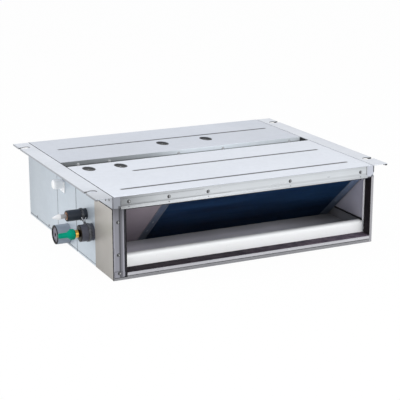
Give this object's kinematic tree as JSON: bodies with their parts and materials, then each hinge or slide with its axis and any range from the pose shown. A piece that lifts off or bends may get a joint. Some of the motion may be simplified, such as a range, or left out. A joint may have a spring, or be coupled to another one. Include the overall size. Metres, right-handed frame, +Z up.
{
  "type": "ducted air conditioner",
  "caption": "Low rectangular ducted air conditioner with an inclined coil behind its outlet, hanging rails along the top and pipe stubs on the left end.",
  "frame": {"origin": "middle of the casing's underside", "axes": "+X to the right as seen from the outlet, +Y from the outlet to the air inlet, +Z up"},
  "size_m": [0.825, 0.6266, 0.2],
  "materials": {
    "galvanised_sheet": "galvanised, satin",
    "rail_sheet": "galvanised, satin",
    "outlet_sheet": "galvanised, satin",
    "cover_sheet": "galvanised, warm satin",
    "black_foam": "matt closed-cell foam",
    "white_foam": "matt expanded foam",
    "coated_aluminium": "blue coated fins",
    "end_plate_sheet": "galvanised, dull",
    "copper": "drawn copper",
    "pipe_sleeve": "matt foam rubber",
    "brass": "turned brass",
    "green_plastic": "glossy",
    "white_plastic": "glossy",
    "grey_plastic": "matt",
    "black_plastic": "matt",
    "inner_sheet": "galvanised, satin",
    "steel": "zinc plated",
    "motor_paint": "black paint",
    "filter_mesh": "woven nylon net",
    "board": "circuit laminate"
  },
  "bodies": {
    "casing": {"circuit_board": "board", "coil_left_end_plate": "end_plate_sheet", "coil_right_end_plate": "end_plate_sheet", "control_box": "inner_sheet", "drain_insulation": "pipe_sleeve", "drain_pan": "white_foam", "drain_pipe": "grey_plastic", "drain_pump": "grey_plastic", "evaporator_fins": "coated_aluminium", "fan_motor": "motor_paint", "filter_guides": "inner_sheet", "flange_screws": "steel", "front_bottom_panel": "galvanised_sheet", "front_top_panel": "galvanised_sheet", "gas_header": "copper", "gas_insulation": "pipe_sleeve", "gas_pipe": "copper", "header_cover_plate": "end_plate_sheet", "inlet_frame": "inner_sheet", "inner_insulation": "black_foam", "left_electrics_panel": "galvanised_sheet", "left_fan_housing_lower": "black_plastic", "left_fan_housing_upper": "black_plastic", "left_front_cover": "cover_sheet", "left_hanging_rail": "rail_sheet", "left_service_panel": "galvanised_sheet", "left_side_panel": "galvanised_sheet", "liquid_distributor": "copper", "liquid_insulation": "pipe_sleeve", "liquid_pipe": "copper", "motor_bracket": "inner_sheet", "outlet_bottom_flange": "outlet_sheet", "outlet_corner_plate": "outlet_sheet", "outlet_corners": "outlet_sheet", "outlet_foam_lining": "black_foam", "outlet_left_flange": "outlet_sheet", "outlet_right_flange": "outlet_sheet", "outlet_top_flange": "outlet_sheet", "panel_screws": "steel", "partition_plate": "inner_sheet", "pipe_clip": "black_plastic", "pump_drain_port": "white_plastic", "rear_bottom_panel": "galvanised_sheet", "rear_top_panel": "galvanised_sheet", "return_bends": "copper", "right_fan_housing_lower": "black_plastic", "right_fan_housing_upper": "black_plastic", "right_front_cover": "cover_sheet", "right_hanging_rail": "rail_sheet", "right_side_panel": "galvanised_sheet", "top_channel": "galvanised_sheet"},
    "fan_rotor": {"left_impeller": "black_plastic", "right_impeller": "black_plastic", "fan_shaft": "steel"},
    "air_filter": {"air_filter_frame": "black_plastic", "air_filter_mesh": "filter_mesh"},
    "gas_cap_body": {"gas_cap": "green_plastic"},
    "liquid_cap_body": {"liquid_cap": "white_plastic"},
    "gas_nut_body": {"gas_flare_nut": "brass"},
    "liquid_nut_body": {"liquid_flare_nut": "brass"}
  },
  "joints": [
    {"name": "fan_spin", "type": "hinge", "parent": "casing", "child": "fan_rotor", "pos_m": [0.036, 0.1705, 0.092], "axis": [1, 0, 0], "continuous": true},
    {"name": "filter_slide", "type": "slide", "parent": "casing", "child": "air_filter", "axis": [1, 0, 0], "range_m": [0, 0.68]},
    {"name": "gas_cap_pull", "type": "slide", "parent": "casing", "child": "gas_cap_body", "axis": [-1, 0, 0], "range_m": [0, 0.04]},
    {"name": "liquid_cap_pull", "type": "slide", "parent": "casing", "child": "liquid_cap_body", "axis": [-1, 0, 0], "range_m": [0, 0.04]},
    {"name": "gas_nut_turn", "type": "hinge", "parent": "casing", "child": "gas_nut_body", "pos_m": [-0.385, -0.1685, 0.081], "axis": [1, 0, 0], "continuous": true},
    {"name": "liquid_nut_turn", "type": "hinge", "parent": "casing", "child": "liquid_nut_body", "pos_m": [-0.39, -0.1275, 0.115], "axis": [1, 0, 0], "continuous": true}
  ]
}
